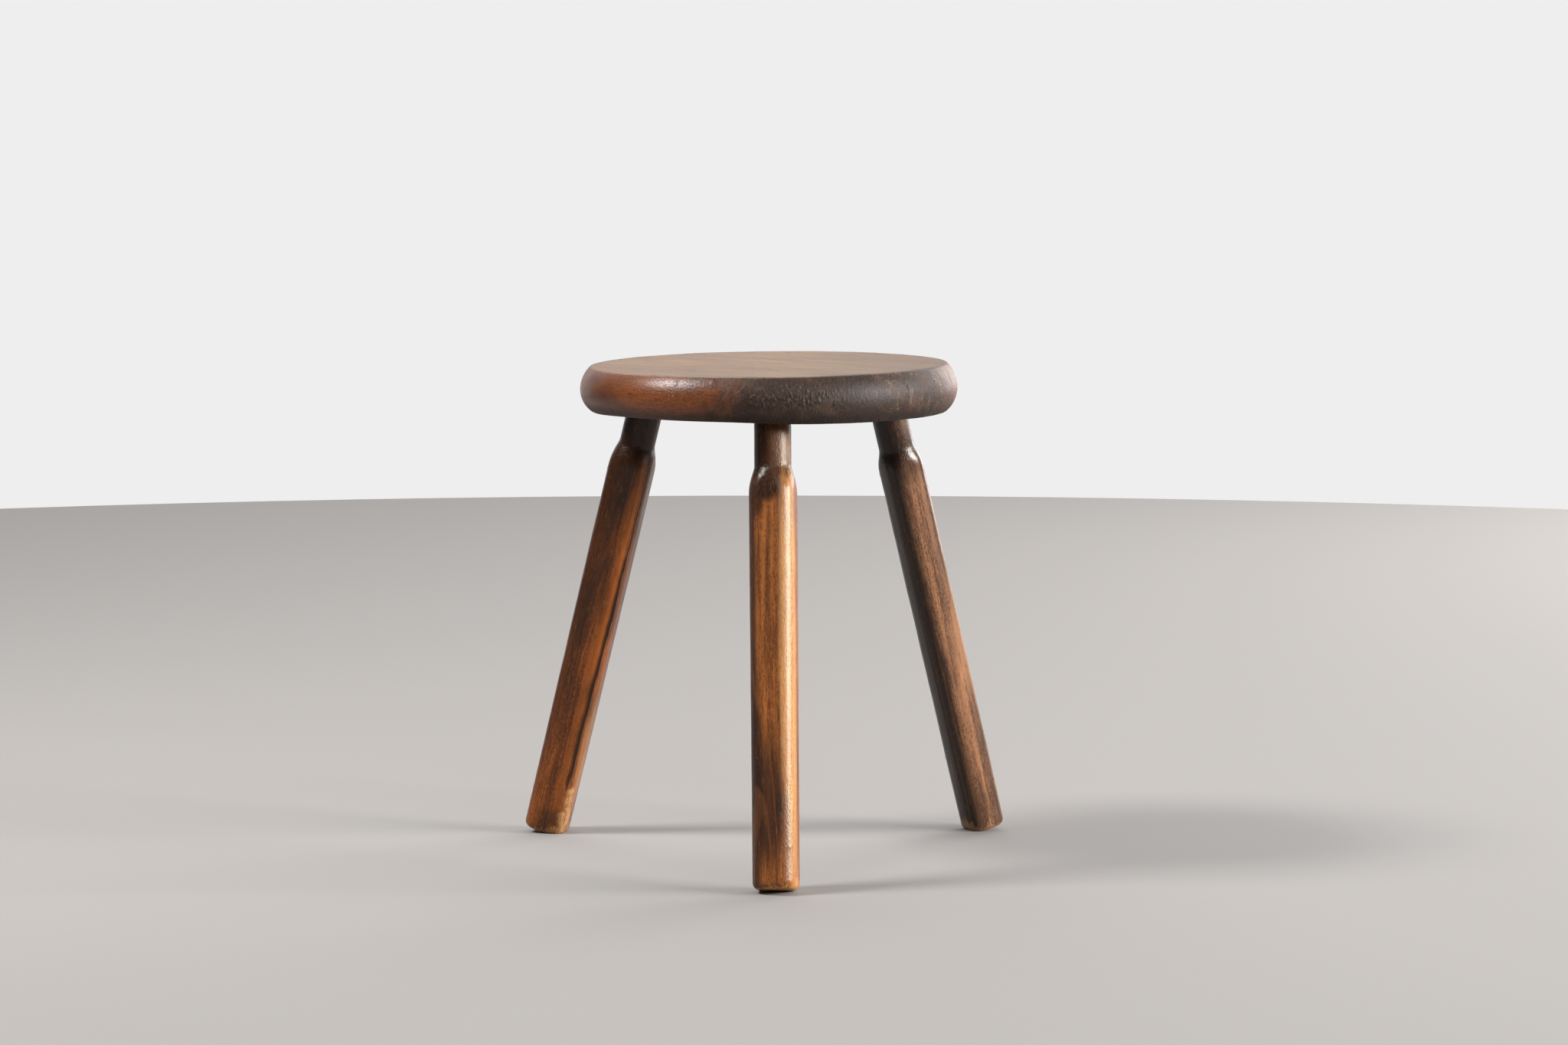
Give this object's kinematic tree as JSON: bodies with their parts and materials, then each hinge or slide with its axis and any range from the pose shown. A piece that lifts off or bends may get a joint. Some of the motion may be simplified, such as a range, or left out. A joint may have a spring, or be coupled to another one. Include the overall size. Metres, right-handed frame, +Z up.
{
  "type": "tripod stool",
  "caption": "Low round wooden stool: thick plank seat with a swelling rounded edge on splayed square legs with round necks, wedged into blind mortises.",
  "frame": {"origin": "on the floor, under the middle of the seat, at the centre of the stance of the three feet", "axes": "+Z up, front leg towards -Y, +X to the right of someone facing the front leg"},
  "size_m": [0.4149, 0.3949, 0.412],
  "materials": {
    "seat_wood": "dark stained and waxed, worn dusty on top",
    "leg_wood": "golden brown stained and waxed, polished by handling",
    "wedge_wood": "bare split hardwood"
  },
  "bodies": {
    "root": {"seat": "seat_wood", "leg_front": "leg_wood", "leg_left": "leg_wood", "leg_right": "leg_wood", "wedge_front": "wedge_wood", "wedge_left": "wedge_wood", "wedge_right": "wedge_wood"}
  },
  "joints": []
}
